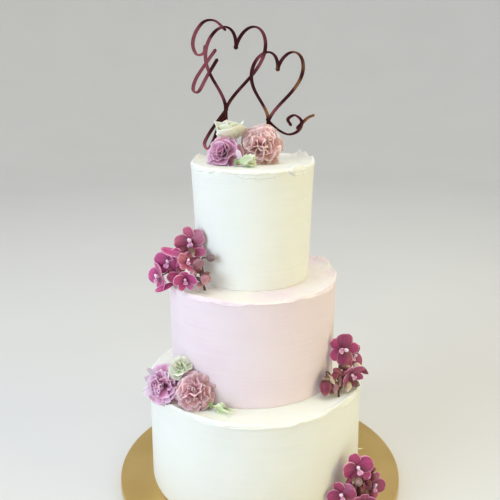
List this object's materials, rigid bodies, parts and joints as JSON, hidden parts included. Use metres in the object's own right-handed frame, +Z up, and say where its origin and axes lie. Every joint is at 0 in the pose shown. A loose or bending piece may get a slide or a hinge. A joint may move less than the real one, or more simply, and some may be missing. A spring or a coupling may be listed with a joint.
{
  "type": "wedding cake",
  "caption": "Tall round stacked wedding cake in scraped buttercream, dressed with orchids and carnations, with a mirrored linked-hearts topper, on a gold drum board.",
  "frame": {"origin": "on the table, under the middle of the round board", "axes": "+Z up through the tiers, -Y towards the front that the flowers face, +X to the right seen from the front"},
  "size_m": [0.4064, 0.4064, 0.6383],
  "materials": {
    "gold_foil": "gold foil paper over a card drum, satin metallic",
    "white_buttercream": "scraped white buttercream, soft satin",
    "blush_buttercream": "scraped pale pink buttercream, soft satin",
    "rose_gold_mirror": "laser-cut rose-gold mirror acrylic",
    "orchid_petals": "fresh magenta orchid petals, waxy, with pale edges and a darker lip",
    "orchid_stems": "dark brown-purple orchid stems",
    "orchid_buds": "closed orchid buds, grey-pink and waxy",
    "green_buds": "pale green closed buds and calyces",
    "mauve_petals": "mauve carnation petals with paler edges, matt",
    "pink_petals": "dusty pink carnation petals, matt",
    "green_petals": "pale green carnation petals, matt",
    "white_petals": "cream-white rose petals, matt"
  },
  "bodies": {
    "root": {"cake_board": "gold_foil", "bottom_tier": "white_buttercream", "middle_tier": "blush_buttercream", "top_tier": "white_buttercream", "topper": "rose_gold_mirror", "left_orchid_stem": "orchid_stems", "left_orchid_1": "orchid_petals", "left_orchid_2": "orchid_petals", "left_orchid_3": "orchid_petals", "left_orchid_4": "orchid_petals", "left_orchid_5": "orchid_petals", "left_orchid_bud_1": "orchid_buds", "left_orchid_bud_2": "orchid_buds", "right_orchid_stem": "orchid_stems", "right_orchid_1": "orchid_petals", "right_orchid_2": "orchid_petals", "right_orchid_3": "orchid_petals", "right_orchid_bud_1": "orchid_buds", "right_orchid_bud_2": "orchid_buds", "right_orchid_bud_3": "orchid_buds", "base_orchid_stem": "orchid_stems", "base_orchid_1": "orchid_petals", "base_orchid_2": "orchid_petals", "base_orchid_3": "orchid_petals", "base_orchid_4": "orchid_petals", "base_orchid_bud_1": "orchid_buds", "base_orchid_bud_2": "orchid_buds", "ledge_mauve_carnation": "mauve_petals", "ledge_pink_carnation": "pink_petals", "ledge_green_flower": "green_petals", "ledge_green_bud": "green_buds", "top_mauve_carnation": "mauve_petals", "top_pink_carnation": "pink_petals", "top_white_rose": "white_petals", "top_green_bud": "green_buds"}
  },
  "joints": []
}
